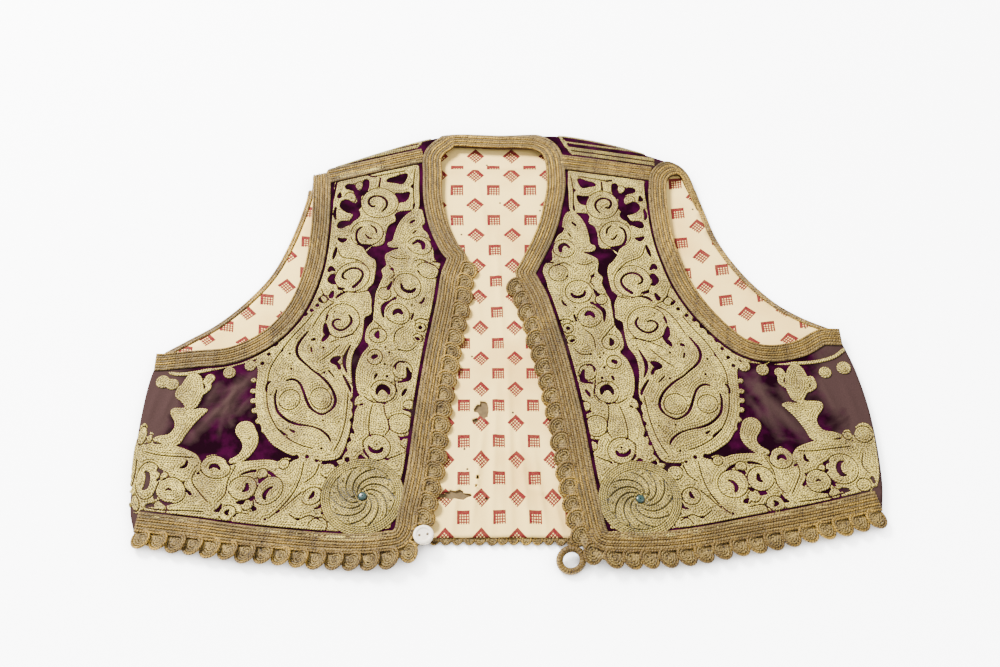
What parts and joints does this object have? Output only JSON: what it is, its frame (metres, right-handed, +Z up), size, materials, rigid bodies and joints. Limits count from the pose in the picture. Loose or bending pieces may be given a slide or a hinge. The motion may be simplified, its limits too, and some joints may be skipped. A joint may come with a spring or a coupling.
{
  "type": "waistcoat",
  "caption": "Short open velvet waistcoat laid flat on its back, with a printed lining, braid bands, scalloped edges, a button and a button loop.",
  "frame": {"origin": "on the flat underside of the back, near its middle", "axes": "+X from the wearer's right to the wearer's left, +Y from the hem to the neck, +Z up from the table"},
  "size_m": [0.5649, 0.4003, 0.0139],
  "materials": {
    "velvet": "dark purple cotton velvet with raised metal-thread embroidery",
    "lining": "cream cotton with a small red print",
    "braid": "tarnished gold braid",
    "scallop": "coiled gold cord",
    "button": "smooth white"
  },
  "bodies": {
    "root": {"front_right": "velvet", "front_left": "velvet", "back": "velvet", "back_lining": "lining", "front_band_right": "braid", "front_band_left": "braid", "hem_band_right": "braid", "hem_band_left": "braid", "armhole_band_right": "braid", "armhole_band_left": "braid", "shoulder_band_right": "braid", "shoulder_band_left": "braid", "neck_band_back": "braid", "back_armhole_cord_right": "braid", "back_armhole_cord_left": "braid", "front_scallops_right": "scallop", "front_scallops_left": "scallop", "hem_scallops_right": "scallop", "hem_scallops_left": "scallop", "back_hem_scallops": "scallop", "button": "button", "button_loop": "braid"}
  },
  "joints": []
}
